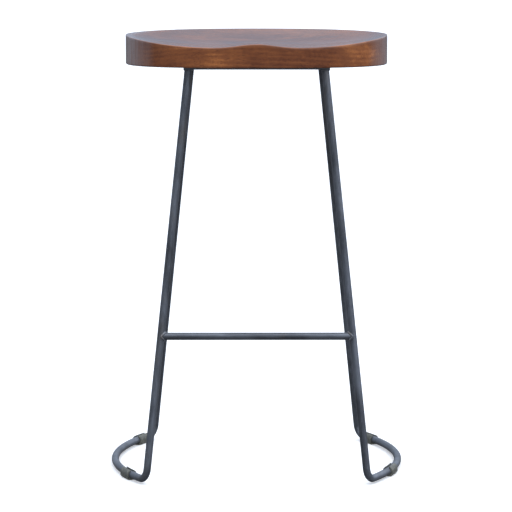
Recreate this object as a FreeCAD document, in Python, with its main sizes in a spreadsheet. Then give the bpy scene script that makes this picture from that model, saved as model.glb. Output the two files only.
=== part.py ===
import FreeCAD
import Part
import Sketcher
import math
import os

from FreeCAD import Placement, Rotation, Vector

# Bar stool: a carved saddle seat of solid wood on a base of bent round rod.
# Each side of the base is one rod, bent into two legs joined by a bow along the floor.
# The legs are welded to a flat-bar frame that is screwed to the seat, and a footrest bar
# joins the two front legs. Four plastic glides clip over the floor bows.
# +X is to the right as seen from the front, -Y is the front, +Z is up.
# The origin is on the floor, under the middle of the stool.

doc = FreeCAD.newDocument("BarStool")
sheet = doc.addObject("Spreadsheet::Sheet", "Dimensions")

DRIVING = [
    ("total_height", 760, "floor to the top of the back rim"),
    ("seat_width", 454, "side to side"),
    ("seat_depth", 320, "front to back"),
    ("rim_thickness", 53.5, "seat thickness at the middle of the back rim"),
    ("end_thickness", 51, "seat thickness at both ends"),
    ("scoop_thickness", 33.5, "seat thickness at the bottom of the scoops"),
    ("ridge_rise", 7.1, "height of the middle ridge at the front edge"),
    ("ridge_spread", 45, "how far the ridge spreads to each side"),
    ("ridge_fade", 180, "how far back the ridge runs out"),
    ("back_slope_start", -60, "where the scoops start to climb to the back rim"),
    ("seat_edge_radius", 2.5, "round-over on the seat's lower edge"),
    ("rod_diameter", 12.7, "legs, floor bows and footrest"),
    ("leg_top_across", 116, "middle of a leg's top from the centre plane, across"),
    ("leg_top_along", 131, "middle of a leg's top from the centre plane, front to back"),
    ("foot_across", 188.5, "corner of a leg and its bow, across"),
    ("foot_along", 200, "corner of a leg and its bow, front to back"),
    ("bow_reach", 250, "middle of the rod at the bow's furthest point"),
    ("bow_lead", 23, "straight length of bow measured from the corner"),
    ("bend_radius", 19, "bend between leg and bow, on the rod's middle line"),
    ("footrest_height", 253, "middle of the footrest bar above the floor"),
    ("footrest_cope", 4.5, "depth of the hollow in each end of the footrest bar"),
    ("bar_width", 25, "flat bars under the seat"),
    ("bar_thickness", 3, "flat bars under the seat"),
    ("bar_overhang", 1.5, "how far the cross bars run past the legs"),
    ("cross_screw_across", 60, "screws in the front and rear bars"),
    ("side_screw_along", 70, "screws in the left and right bars"),
    ("screw_diameter", 4.5, "wood screw"),
    ("screw_grip", 20, "length of screw in the wood"),
    ("screw_tip", 5, "length of the screw's point"),
    ("screw_point_diameter", 0.6, "the blunt end of the point"),
    ("screw_head_diameter", 9, "countersunk head, flush with the flat bar"),
    ("screw_hole_diameter", 5.4, "clearance hole in the flat bars"),
    ("countersink_depth", 1.9, "45 degree countersink in the flat bars"),
    ("glide_wall", 2.5, "plastic under and around the rod"),
    ("glide_length", 34, "along the bow"),
    ("glide_sole", 12, "width of the flat that stands on the floor"),
    ("glide_mouth", 5, "slit along the top of the glide"),
    ("front_left_glide_turn", 23.4, "angle round the bow from its furthest point"),
    ("front_right_glide_turn", 18.5, "angle round the bow from its furthest point"),
    ("rear_left_glide_turn", 27.2, "angle round the bow from its furthest point"),
    ("rear_right_glide_turn", 28, "angle round the bow from its furthest point"),
    ("weld_leg", 2.5, "how far a weld bead spreads from a rod"),
    ("leg_weld_height", 3, "weld bead round a leg's top"),
    ("seam_bead_radius", 1.8, "weld bead across a joint of two flat bars"),
    ("seam_bead_depth", 0.6, "how far the seam bead's middle lies inside the bars"),
]

WORKED_OUT = [
    ("rod_radius", "rod_diameter / 2"),
    ("rod_height", "glide_wall + rod_radius"),
    ("seat_underside", "total_height - rim_thickness"),
    ("leg_top_height", "seat_underside - bar_thickness"),
    ("leg_rise", "leg_top_height - rod_height"),
    ("splay_across", "foot_across - leg_top_across"),
    ("splay_along", "foot_along - leg_top_along"),
    ("leg_length", "sqrt(leg_rise^2 + splay_across^2 + splay_along^2)"),
    ("bow_turn", "2 * atan((bow_reach - foot_across) / (foot_along + bow_lead))"),
    ("bow_radius", "(foot_along - bow_lead * cos(bow_turn)) / sin(bow_turn)"),
    ("bow_middle", "bow_reach - bow_radius"),
    ("bend_turn", "acos((splay_across * sin(bow_turn) - splay_along * cos(bow_turn)) / leg_length)"),
    ("bend_tangent", "bend_radius * tan(bend_turn / 2)"),
    ("footrest_across", "foot_across - splay_across * (footrest_height - rod_height) / leg_rise"),
    ("footrest_along", "foot_along - splay_along * (footrest_height - rod_height) / leg_rise"),
    ("side_bar_length", "2 * leg_top_along - bar_width"),
    ("screw_head_height", "(screw_head_diameter - screw_diameter) / 2"),
    ("cross_bar_length", "2 * leg_top_across + rod_diameter + 2 * bar_overhang"),
    ("side_bar_across", "(cross_bar_length - bar_width) / 2"),
]

row = 0
for alias, value, meaning in DRIVING:
    row += 1
    sheet.set(f"A{row}", alias)
    sheet.set(f"B{row}", str(value))
    sheet.setAlias(f"B{row}", alias)
    sheet.set(f"C{row}", meaning)
for alias, formula in WORKED_OUT:
    row += 1
    sheet.set(f"A{row}", alias)
    sheet.set(f"B{row}", "=" + formula)
    sheet.setAlias(f"B{row}", alias)
doc.recompute()


def size(alias):
    """The value of one cell as a plain number (millimetres or degrees)."""
    value = sheet.get(alias)
    return float(getattr(value, "Value", value))


def bind(thing, **formulas):
    """Tie properties of an object to formulas, in which @ stands for the sheet."""
    for name, formula in formulas.items():
        thing.setExpression(name, formula.replace("@", "Dimensions."))


def add(kind, label, **formulas):
    """Add a Part object whose properties follow the sheet."""
    thing = doc.addObject(kind, label)
    thing.Label = label
    bind(thing, **formulas)
    return thing


def cut(label, base, tool):
    thing = add("Part::Cut", label)
    thing.Base = base
    thing.Tool = tool
    return thing


def fuse(label, shapes):
    thing = add("Part::MultiFuse", label)
    thing.Shapes = shapes
    thing.Refine = True
    return thing


def along(start, direction):
    """A placement at start whose own Z axis points along direction."""
    return Placement(start, Rotation(Vector(0, 0, 1), direction))


# ---------------------------------------------------------------- side frames

def leg_corner(side, end):
    """The sharp corner where a leg's middle line would meet its bow's."""
    return Vector(side * size("foot_across"), end * size("foot_along"), size("rod_height"))


def leg_top(side, end):
    """The middle of a leg's top face, under the flat bars."""
    return Vector(side * size("leg_top_across"), end * size("leg_top_along"), size("leg_top_height"))


def rod_corner(name, side, end):
    """One leg, the bend at its foot and the short straight that leads into the bow."""
    corner = leg_corner(side, end)
    up_leg = (leg_top(side, end) - corner).normalize()
    turn = math.radians(size("bow_turn"))
    to_bow = Vector(side * math.sin(turn), -end * math.cos(turn), 0)
    reach = size("bend_tangent")

    leg = add("Part::Cylinder", f"{name}_leg", Radius="@rod_radius",
              Height="@leg_length - @bend_tangent + @rod_radius")
    leg.Placement = along(corner + up_leg * reach, up_leg)

    lead = add("Part::Cylinder", f"{name}_lead", Radius="@rod_radius",
               Height="@bow_lead - @bend_tangent")
    lead.Placement = along(corner + to_bow * reach, to_bow)

    bend = add("Part::Torus", f"{name}_bend", Radius1="@bend_radius", Radius2="@rod_radius",
               Angle3="@bend_turn")
    inward = (up_leg + to_bow).normalize()
    half_turn = math.radians(size("bend_turn")) / 2
    middle = corner + inward * (size("bend_radius") / math.cos(half_turn))
    outward = (corner + up_leg * reach - middle).normalize()
    down_leg = up_leg * -1
    bend.Placement = Placement(middle, Rotation(outward, down_leg, outward.cross(down_leg), "XYZ"))
    return [leg, bend, lead]


def side_frame(name, side):
    """A whole side of the base: front leg, floor bow and rear leg bent from one rod."""
    bow = add("Part::Torus", f"{name}_bow", Radius1="@bow_radius", Radius2="@rod_radius",
              Angle3="2 * @bow_turn")
    start = -size("bow_turn")
    if side < 0:
        start += 180
    bow.Placement = Placement(Vector(side * size("bow_middle"), 0, size("rod_height")),
                              Rotation(Vector(0, 0, 1), start))
    pieces = rod_corner(f"{name}_front", side, -1) + [bow] + rod_corner(f"{name}_rear", side, 1)
    rod = fuse(f"{name}_rod", pieces)

    above = add("Part::Box", f"{name}_top_trim", Length="2 * @foot_across",
                Width="4 * @foot_along", Height="2 * @rod_diameter")
    left_edge = min(0, side * 2 * size("foot_across"))
    above.Placement.Base = Vector(left_edge, -2 * size("foot_along"), size("leg_top_height"))
    return cut(f"{name}_side_frame", rod, above)


SIDES = {"left": -1, "right": 1}
ENDS = {"front": -1, "rear": 1}
CORNERS = [(f"{end}_{side}", SIDES[side], ENDS[end]) for end in ENDS for side in SIDES]

nodes = []
frames = {}
for side_name, side in SIDES.items():
    frames[side_name] = side_frame(side_name, side)
    nodes.append(frames[side_name])

# ---------------------------------------------------------------- footrest

footrest_blank = add("Part::Cylinder", "footrest_blank", Radius="@rod_radius",
                     Height="2 * (@footrest_across - @rod_radius + @footrest_cope)")
footrest_start = Vector(-(size("footrest_across") - size("rod_radius") + size("footrest_cope")),
                        -size("footrest_along"), size("footrest_height"))
footrest_blank.Placement = along(footrest_start, Vector(1, 0, 0))
footrest_half = cut("footrest_left_coped", footrest_blank, frames["left"])
footrest = cut("footrest_bar", footrest_half, frames["right"])
nodes.append(footrest)


def footrest_weld(side_name, side):
    """The bead that fills the corner between the footrest bar and a front leg."""
    joint = Vector(side * size("footrest_across"), -size("footrest_along"), size("footrest_height"))
    up_leg = (leg_top(side, -1) - leg_corner(side, -1)).normalize()
    span = size("rod_diameter")
    round_leg = add("Part::Cylinder", f"{side_name}_weld_round_leg",
                    Radius="@rod_radius + @weld_leg", Height="2 * @rod_diameter")
    round_leg.Placement = along(joint - up_leg * span, up_leg)
    round_bar = add("Part::Cylinder", f"{side_name}_weld_round_bar",
                    Radius="@rod_radius + @weld_leg", Height="@rod_diameter")
    round_bar.Placement = along(joint, Vector(-side, 0, 0))
    collar = add("Part::MultiCommon", f"{side_name}_weld_collar")
    collar.Shapes = [round_leg, round_bar]
    outside_leg = cut(f"{side_name}_weld_off_leg", collar, frames[side_name])
    return cut(f"{side_name}_footrest_weld", outside_leg, footrest)


for side_name, side in SIDES.items():
    nodes.append(footrest_weld(side_name, side))

# ---------------------------------------------------------------- flat bars under the seat


def origin_plane(body, role):
    """One of a body's own origin planes."""
    return next(f for f in body.Origin.OriginFeatures if f.Role == role)


# Sketches start at a rough size; the constraints then take theirs from the sheet.
ROUGH_LENGTH = 20
ROUGH_WIDTH = 10


def new_sketch(body, name, role):
    sketch = body.newObject("Sketcher::SketchObject", name)
    sketch.AttachmentSupport = (origin_plane(body, role), [""])
    sketch.MapMode = "FlatFace"
    return sketch


def rectangle_sketch(body, name, length, width):
    """A rectangle centred on the body's origin, sized by two formulas."""
    sketch = new_sketch(body, name, "XY_Plane")
    right, back = ROUGH_LENGTH / 2, ROUGH_WIDTH / 2
    corners = [Vector(-right, -back), Vector(right, -back), Vector(right, back), Vector(-right, back)]
    for i in range(4):
        sketch.addGeometry(Part.LineSegment(corners[i], corners[(i + 1) % 4]), False)
    for i in range(4):
        sketch.addConstraint(Sketcher.Constraint("Coincident", i, 2, (i + 1) % 4, 1))
    for i in (0, 2):
        sketch.addConstraint(Sketcher.Constraint("Horizontal", i))
        sketch.addConstraint(Sketcher.Constraint("Vertical", i + 1))
    sketch.addConstraint(Sketcher.Constraint("Symmetric", 0, 1, 1, 2, -1, 1))
    sizes = (("length", "DistanceX", 0, ROUGH_LENGTH, length),
             ("width", "DistanceY", 1, ROUGH_WIDTH, width))
    for label, kind, line, start, formula in sizes:
        index = sketch.addConstraint(Sketcher.Constraint(kind, line, 1, line, 2, start))
        sketch.renameConstraint(index, label)
        bind(sketch, **{f"Constraints.{label}": formula})
    return sketch


def hole_sketch(body, name, offset):
    """Two screw holes on the body's X axis, one each side of the middle."""
    sketch = new_sketch(body, name, "XY_Plane")
    for i, side in enumerate((-1, 1)):
        middle = Vector(side * ROUGH_LENGTH / 2, 0)
        sketch.addGeometry(Part.Circle(middle, Vector(0, 0, 1), size("screw_diameter") / 2), False)
        sketch.addConstraint(Sketcher.Constraint("PointOnObject", i, 3, -1))
        diameter = sketch.addConstraint(Sketcher.Constraint("Diameter", i, 4))
        sketch.renameConstraint(diameter, f"hole_{i}")
        bind(sketch, **{f"Constraints.hole_{i}": "@screw_hole_diameter"})
    ends = ((0, 3, -1, 1, "first"), (-1, 1, 1, 3, "second"))
    for start, start_point, finish, finish_point, label in ends:
        index = sketch.addConstraint(Sketcher.Constraint("DistanceX", start, start_point, finish,
                                                         finish_point, ROUGH_LENGTH / 2))
        sketch.renameConstraint(index, label)
        bind(sketch, **{f"Constraints.{label}": offset})
    return sketch


def mounting_bar(name, length, screw_offset, middle, turn):
    """A flat bar with two countersunk screw holes; the countersinks are on its underside."""
    body = doc.addObject("PartDesign::Body", f"{name}_mounting_bar")
    body.Label = f"{name}_mounting_bar"
    pad = body.newObject("PartDesign::Pad", f"{name}_bar_pad")
    pad.Profile = rectangle_sketch(body, f"{name}_bar_outline", length, "@bar_width")
    bind(pad, Length="@bar_thickness")
    doc.recompute()
    holes = body.newObject("PartDesign::Pocket", f"{name}_bar_holes")
    holes.Profile = hole_sketch(body, f"{name}_bar_hole_centres", screw_offset)
    holes.Type = "ThroughAll"
    holes.Reversed = True
    doc.recompute()
    rims = [f"Edge{i + 1}" for i, edge in enumerate(holes.Shape.Edges)
            if isinstance(edge.Curve, Part.Circle) and edge.BoundBox.ZMax < size("bar_thickness") / 2]
    countersinks = body.newObject("PartDesign::Chamfer", f"{name}_bar_countersinks")
    countersinks.Base = (holes, rims)
    bind(countersinks, Size="@countersink_depth")
    body.Placement = Placement(middle, Rotation(Vector(0, 0, 1), turn))
    return body


bar_level = size("leg_top_height")
bars = {}
for end_name, end in ENDS.items():
    bars[end_name] = mounting_bar(end_name, "@cross_bar_length", "@cross_screw_across",
                                  Vector(0, end * size("leg_top_along"), bar_level), 0)
for side_name, side in SIDES.items():
    bars[side_name] = mounting_bar(side_name, "@side_bar_length", "@side_screw_along",
                                   Vector(side * size("side_bar_across"), 0, bar_level), 90)
nodes += list(bars.values())


def leg_top_weld(name, side, end):
    """The bead round the top of a leg, against the flat bar."""
    bead = add("Part::Cone", f"{name}_leg_bead", Radius1="@rod_radius + @weld_leg / 2",
               Radius2="@rod_radius + @weld_leg", Height="@leg_weld_height")
    bead.Placement.Base = leg_top(side, end) - Vector(0, 0, size("leg_weld_height"))
    return cut(f"{name}_leg_weld", bead, frames["left" if side < 0 else "right"])


def seam_weld(name, side, end):
    """The bead across the underside of the joint between a cross bar and a side bar."""
    bead = add("Part::Cylinder", f"{name}_seam_bead", Radius="@seam_bead_radius", Height="@bar_width")
    start = Vector(side * size("side_bar_across") - size("bar_width") / 2,
                   end * size("side_bar_length") / 2, bar_level + size("seam_bead_depth"))
    bead.Placement = along(start, Vector(1, 0, 0))
    below_cross = cut(f"{name}_seam_half", bead, bars["front" if end < 0 else "rear"])
    return cut(f"{name}_seam_weld", below_cross, bars["left" if side < 0 else "right"])


for name, side, end in CORNERS:
    nodes.append(leg_top_weld(name, side, end))
    nodes.append(seam_weld(name, side, end))

# ---------------------------------------------------------------- screws


def wood_screw(name, head_face):
    """A countersunk screw that stands head down, its head's face level with the bar's underside."""
    head = add("Part::Cone", f"{name}_head", Radius1="@screw_head_diameter / 2",
               Radius2="@screw_diameter / 2", Height="@screw_head_height")
    head.Placement.Base = head_face
    shank = add("Part::Cylinder", f"{name}_shank", Radius="@screw_diameter / 2",
                Height="@bar_thickness + @screw_grip - @screw_tip")
    shank.Placement.Base = head_face
    tip = add("Part::Cone", f"{name}_tip", Radius1="@screw_diameter / 2",
              Radius2="@screw_point_diameter / 2", Height="@screw_tip")
    tip.Placement.Base = head_face + Vector(0, 0, size("bar_thickness") + size("screw_grip")
                                            - size("screw_tip"))
    return fuse(name, [head, shank, tip])


screw_faces = []
for sign in (-1, 1):
    for end in ENDS.values():
        screw_faces.append(Vector(sign * size("cross_screw_across"), end * size("leg_top_along"),
                                  bar_level))
    for side in SIDES.values():
        screw_faces.append(Vector(side * size("side_bar_across"), sign * size("side_screw_along"),
                                  bar_level))
screws = add("Part::Compound", "seat_screws")
screws.Links = [wood_screw(f"screw_{i + 1}", face) for i, face in enumerate(screw_faces)]
nodes.append(screws)

# ---------------------------------------------------------------- seat

# The outline is a superellipse, squarer across the front than across the back.
FRONT_SQUARENESS = 2.7
BACK_SQUARENESS = 2.1
OUTLINE_STEPS = 32
# Past the back edge the carving goes on climbing, but only to this share of the full climb.
CLIMB_LIMIT = 1.4


def outline_point(step):
    angle = 2 * math.pi * step / OUTLINE_STEPS
    across, depth = math.cos(angle), math.sin(angle)
    power = 2 / (BACK_SQUARENESS if depth >= 0 else FRONT_SQUARENESS)
    x = math.copysign(abs(across) ** power, across) * size("seat_width") / 2
    y = math.copysign(abs(depth) ** power, depth) * size("seat_depth") / 2
    return Vector(x, y, size("seat_underside"))


def back_edge(x):
    """How far back the outline lies at x; zero at and past the ends."""
    share = min(1.0, abs(x) / (size("seat_width") / 2))
    return (1 - share ** BACK_SQUARENESS) ** (1 / BACK_SQUARENESS) * size("seat_depth") / 2


def seat_thickness(x, y):
    """Thickness of the carved seat: scoops that climb to both ends and to the back rim."""
    share = abs(x) / (size("seat_width") / 2)
    scoop = size("scoop_thickness") + (size("end_thickness") - size("scoop_thickness")) * share ** 3
    rim = size("rim_thickness") + (size("end_thickness") - size("rim_thickness")) * share ** 4
    start = size("back_slope_start")
    climb = max(0.0, (y - start) / (back_edge(x) - start)) ** 2
    forward = max(0.0, size("ridge_fade") - size("seat_depth") / 2 - y) / size("ridge_fade")
    ridge = size("ridge_rise") * math.exp(-(x / size("ridge_spread")) ** 2) * forward ** 1.5
    return scoop + (rim - scoop) * min(climb, CLIMB_LIMIT) + ridge


outline = doc.addObject("Part::Feature", "seat_outline")
outline_curve = Part.BSplineCurve()
outline_curve.interpolate(Points=[outline_point(i) for i in range(OUTLINE_STEPS)], PeriodicFlag=True)
outline.Shape = Part.Wire([outline_curve.toShape()])
slab = add("Part::Extrusion", "seat_slab", LengthFwd="@rim_thickness + @bar_width")
slab.Base = outline
slab.DirMode = "Custom"
slab.Dir = Vector(0, 0, 1)
slab.Solid = True

# The carving runs past the outline, so that it cuts the whole of the slab's top away.
OVERHANG = 10
COLUMNS = 25
ROWS = 17
half_width = size("seat_width") / 2 + OVERHANG
half_depth = size("seat_depth") / 2 + OVERHANG
grid = []
for column in range(COLUMNS):
    x = half_width * (2 * column / (COLUMNS - 1) - 1)
    line = []
    for step in range(ROWS):
        y = half_depth * (2 * step / (ROWS - 1) - 1)
        line.append(Vector(x, y, size("seat_underside") + seat_thickness(x, y)))
    grid.append(line)
carved = doc.addObject("Part::Feature", "carved_surface")
carved_surface = Part.BSplineSurface()
carved_surface.interpolate(grid)
carved.Shape = carved_surface.toShape()
carving = add("Part::Extrusion", "carved_away", LengthFwd="2 * @rim_thickness")
carving.Base = carved
carving.DirMode = "Custom"
carving.Dir = Vector(0, 0, 1)
carving.Solid = True
blank = cut("seat_carved", slab, carving)
doc.recompute()

rounded = doc.addObject("Part::Fillet", "seat_rounded")
rounded.Base = blank
radius = size("seat_edge_radius")
underside_level = size("seat_underside") + radius / 2
lower_edges = [i + 1 for i, edge in enumerate(blank.Shape.Edges) if edge.BoundBox.ZMax < underside_level]
rounded.Edges = [(index, radius, radius) for index in lower_edges]
seat = cut("seat", rounded, screws)
nodes.append(seat)

# ---------------------------------------------------------------- glides


def glide(name, side, end):
    """A C-shaped clip: a ring round the rod with a flat sole and a slit along its top."""
    body = doc.addObject("PartDesign::Body", f"{name}_glide")
    body.Label = f"{name}_glide"
    sketch = new_sketch(body, f"{name}_glide_section", "XZ_Plane")
    middle = size("bow_radius")
    level = size("rod_height")
    inner = size("rod_radius")
    outer = inner + size("glide_wall")
    sole = size("glide_sole") / 2
    mouth = size("glide_mouth") / 2
    foot_rise = outer - sole

    def at(dx, z):
        return Vector(middle + dx, z, 0)

    inner_gap = math.acos(mouth / inner)
    outer_gap = math.acos(mouth / outer)
    bore = Part.Circle(at(0, level), Vector(0, 0, 1), inner)
    shell = Part.Circle(at(0, level), Vector(0, 0, 1), outer)
    pieces = [
        Part.LineSegment(at(-sole, 0), at(sole, 0)),
        Part.LineSegment(at(sole, 0), at(outer, foot_rise)),
        Part.LineSegment(at(outer, foot_rise), at(outer, level)),
        Part.ArcOfCircle(shell, 0, outer_gap),
        Part.LineSegment(at(mouth, level + outer * math.sin(outer_gap)),
                         at(mouth, level + inner * math.sin(inner_gap))),
        Part.ArcOfCircle(bore, math.pi - inner_gap, 2 * math.pi + inner_gap),
        Part.LineSegment(at(-mouth, level + inner * math.sin(inner_gap)),
                         at(-mouth, level + outer * math.sin(outer_gap))),
        Part.ArcOfCircle(shell, math.pi - outer_gap, math.pi),
        Part.LineSegment(at(-outer, level), at(-outer, foot_rise)),
        Part.LineSegment(at(-outer, foot_rise), at(-sole, 0)),
    ]
    sketch.addGeometry(pieces, False)
    turned = body.newObject("PartDesign::Revolution", f"{name}_glide_sweep")
    turned.Profile = sketch
    turned.ReferenceAxis = (sketch, ["V_Axis"])
    bind(turned, Angle="@glide_length / @bow_radius * 180 / pi")
    turned.Midplane = True
    turn = end * size(f"{name}_glide_turn")
    if side < 0:
        turn = 180 - turn
    body.Placement = Placement(Vector(side * size("bow_middle"), 0, 0), Rotation(Vector(0, 0, 1), turn))
    return body


for name, side, end in CORNERS:
    nodes.append(glide(name, side, end))

doc.recompute()

# ---------------------------------------------------------------- checks and files

for thing in doc.Objects:
    for state in ("Invalid", "Error"):
        if state in thing.State:
            raise RuntimeError(f"{thing.Label} is {state}")
for node in nodes:
    if node.Shape.isNull() or not node.Shape.isValid():
        raise RuntimeError(f"{node.Label} has no valid shape")

os.makedirs("parts", exist_ok=True)
for node in nodes:
    node.Shape.exportStep(f"parts/{node.Label}.step")
    box = node.Shape.BoundBox
    print(f"{node.Label}: {len(node.Shape.Solids)} solid(s), {node.Shape.Volume:.0f} mm3, "
          f"z {box.ZMin:.1f} to {box.ZMax:.1f}")
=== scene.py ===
"""A bar stool: a carved saddle seat of lacquered wood on a base of bent steel rod.

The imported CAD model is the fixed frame. This script carves the seat as a fine mesh, lays rippled
weld beads, softens the edges of the flat bars and the glides, fits threaded screws, and gives
every visible piece a procedural finish. Lengths are in metres, +Z is up and -Y is the front.
"""

import logging
import math
from dataclasses import dataclass
from enum import Enum

import bmesh
import bpy
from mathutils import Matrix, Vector


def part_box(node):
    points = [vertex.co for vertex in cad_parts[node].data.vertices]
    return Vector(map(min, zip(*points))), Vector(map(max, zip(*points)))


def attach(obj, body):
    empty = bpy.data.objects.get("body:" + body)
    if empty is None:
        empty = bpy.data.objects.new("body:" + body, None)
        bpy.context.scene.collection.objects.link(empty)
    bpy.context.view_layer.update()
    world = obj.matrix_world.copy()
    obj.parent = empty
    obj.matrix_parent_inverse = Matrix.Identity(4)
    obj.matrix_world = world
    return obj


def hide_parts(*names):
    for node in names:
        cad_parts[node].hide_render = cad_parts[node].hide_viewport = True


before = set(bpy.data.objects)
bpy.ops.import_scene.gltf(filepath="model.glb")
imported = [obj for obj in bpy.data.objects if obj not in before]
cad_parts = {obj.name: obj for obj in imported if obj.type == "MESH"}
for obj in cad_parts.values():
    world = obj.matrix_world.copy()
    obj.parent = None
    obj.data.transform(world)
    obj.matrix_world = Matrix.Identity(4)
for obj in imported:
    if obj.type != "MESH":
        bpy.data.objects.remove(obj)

Triple = tuple[float, float, float]
Socket = bpy.types.NodeSocket
Material = bpy.types.Material
Mesh = bpy.types.Mesh

log = logging.getLogger("bar_stool")
MILLI = 0.001
FLAT_ANGLE = math.radians(1.0)
BEVEL_ANGLE = math.radians(28.0)
CREASE_ANGLE = math.radians(40.0)
THREAD_CREASE_ANGLE = math.radians(45.0)
BODY = "root"
SIDES = {"left": -1, "right": 1}
ENDS = {"front": -1, "rear": 1}


class Slot(Enum):
    """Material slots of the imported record."""

    WOOD = "lacquered_wood"
    STEEL = "dark_steel"
    WELD = "weld_metal"
    SCREW = "screw_steel"
    PLASTIC = "black_plastic"


# ---- node wiring


@dataclass
class Wiring:
    """Adds and joins the nodes of one tree.

    Args:
        tree: The tree.
    """

    tree: bpy.types.NodeTree

    def feed(self, value: object, target: Socket) -> None:
        """Joins a socket to another, or sets the other to a value."""
        if isinstance(value, Socket):
            self.tree.links.new(value, target)
        else:
            target.default_value = value

    def node(
        self, kind: str, inputs: dict[str | int, object], **settings: object
    ) -> bpy.types.Node:
        """Adds a node.

        Args:
            kind: The node's type.
            inputs: The socket or value that feeds each input, by name or number.
            settings: The node's own properties.

        Returns:
            The node.
        """
        made = self.tree.nodes.new(kind)
        for name, value in settings.items():
            setattr(made, name, value)
        for name, value in inputs.items():
            self.feed(value, made.inputs[name])
        return made

    def maths(self, kind: str, first: Socket | float, second: Socket | float) -> Socket:
        """A Math node on two values.

        Args:
            kind: The operation, such as MULTIPLY.
            first: The first value.
            second: The second value.

        Returns:
            The result.
        """
        return self.node("ShaderNodeMath", {0: first, 1: second}, operation=kind).outputs[0]

    def times(self, first: Socket, second: Socket | float) -> Socket:
        """The product of two values."""
        return self.maths("MULTIPLY", first, second)

    def plus(self, first: Socket, second: Socket | float) -> Socket:
        """The sum of two values."""
        return self.maths("ADD", first, second)


@dataclass
class NodeDesk(Wiring):
    """Wires patterns and colours in a tree of shader nodes.

    Args:
        place: The coordinates that the patterns follow.
    """

    place: Socket

    def stretched(
        self, scale: Triple, shift: Triple = (0.0, 0.0, 0.0), turn: Triple = (0.0, 0.0, 0.0)
    ) -> Socket:
        """Scales, shifts and turns the coordinates.

        Args:
            scale: Scale along each axis.
            shift: Shift along each axis, after the scale.
            turn: Rotation about each axis, in radians.

        Returns:
            The new coordinates.
        """
        inputs = {"Vector": self.place, "Scale": scale, "Location": shift, "Rotation": turn}
        return self.node("ShaderNodeMapping", inputs).outputs["Vector"]

    def noise(
        self,
        scale: Triple | float,
        detail: float,
        rough: float,
        twist: float = 0.0,
        shift: Triple = (0.0, 0.0, 0.0),
    ) -> Socket:
        """Fractal noise from 0 to 1.

        Args:
            scale: Frequency along each axis, or one number for all three.
            detail: Octaves.
            rough: Share that each finer octave keeps.
            twist: Distortion of the pattern.
            shift: Where the pattern starts along each axis.

        Returns:
            The noise value.
        """
        where, size = self.place, scale
        if isinstance(scale, tuple):
            where, size = self.stretched(scale, shift), 1.0
        inputs = {"Vector": where, "Scale": size, "Detail": detail}
        inputs |= {"Roughness": rough, "Distortion": twist}
        return self.node("ShaderNodeTexNoise", inputs).outputs["Fac"]

    def ramp(self, value: Socket, stops: list[tuple[float, tuple[float, ...]]]) -> Socket:
        """A colour ramp.

        Args:
            value: What drives the ramp.
            stops: Positions and colours (three or one numbers each).

        Returns:
            The colour.
        """
        node = self.node("ShaderNodeValToRGB", {"Fac": value})
        node.color_ramp.interpolation = "EASE"
        marks = node.color_ramp.elements
        while len(marks) < len(stops):
            marks.new(0.5)
        for mark, (position, colour) in zip(marks, stops):
            mark.position = position
            tone = colour if len(colour) == 3 else colour * 3
            mark.color = (*tone, 1.0)
        return node.outputs["Color"]

    def spread(
        self,
        value: Socket,
        low: float,
        high: float,
        to_low: float = 0.0,
        to_high: float = 1.0,
    ) -> Socket:
        """Maps a value from one range to another, held at both ends.

        Args:
            value: The value to map.
            low: Start of the range read.
            high: End of the range read.
            to_low: What low becomes.
            to_high: What high becomes.

        Returns:
            The mapped value.
        """
        ends = {"From Min": low, "From Max": high, "To Min": to_low, "To Max": to_high}
        return self.node("ShaderNodeMapRange", {"Value": value, **ends}).outputs["Result"]

    def axes(self) -> tuple[Socket, Socket, Socket]:
        """The three coordinates, each as a value."""
        node = self.node("ShaderNodeSeparateXYZ", {0: self.place})
        return node.outputs["X"], node.outputs["Y"], node.outputs["Z"]

    def mix(self, share: Socket, first: Socket | Triple, second: Socket | Triple) -> Socket:
        """Mixes two colours.

        Args:
            share: How much of the second.
            first: The first colour, a socket or three numbers.
            second: The second colour, a socket or three numbers.

        Returns:
            The mixed colour.
        """
        inputs = {"Factor": share}
        for name, colour in (("A", first), ("B", second)):
            inputs[name] = (*colour, 1.0) if isinstance(colour, tuple) else colour
        return self.node("ShaderNodeMix", inputs, data_type="RGBA").outputs["Result"]


class ShaderDesk(NodeDesk):
    """A desk for one material, with its Principled shader."""

    def __init__(self, name: str) -> None:
        """Makes an empty material with an output and one Principled shader.

        Args:
            name: The material's name.
        """
        self.material = bpy.data.materials.new(name)
        self.material.use_nodes = True
        tree = self.material.node_tree
        tree.nodes.clear()
        super().__init__(tree, tree.nodes.new("ShaderNodeTexCoord").outputs["Object"])
        self.shader = self.node("ShaderNodeBsdfPrincipled", {})
        self.node("ShaderNodeOutputMaterial", {"Surface": self.shader.outputs["BSDF"]})

    def constants(self, **values: object) -> None:
        """Sets the shader's own sockets; an underscore in a name stands for a space."""
        for name, value in values.items():
            self.shader.inputs[name.replace("_", " ")].default_value = value

    def colour(self, value: Socket) -> None:
        """Drives the shader's base colour."""
        self.feed(value, self.shader.inputs["Base Color"])

    def roughness(self, value: Socket, smooth: float, rough: float) -> None:
        """Drives the shader's roughness by a pattern.

        Args:
            value: The pattern; its middle range is used.
            smooth: Roughness where the pattern is low.
            rough: Roughness where it is high.
        """
        self.feed(self.spread(value, 0.3, 0.7, smooth, rough), self.shader.inputs["Roughness"])

    def bumps(self, layers: list[tuple[Socket, float]]) -> None:
        """Stacks bump layers on the shader's normal.

        Args:
            layers: Each layer's height value and its depth in metres.
        """
        last = {}
        for height, depth in layers:
            inputs = {"Strength": 1.0, "Distance": depth, "Height": height, **last}
            last = {"Normal": self.node("ShaderNodeBump", inputs).outputs["Normal"]}
        self.feed(last["Normal"], self.shader.inputs["Normal"])


# ---- finishes


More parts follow.
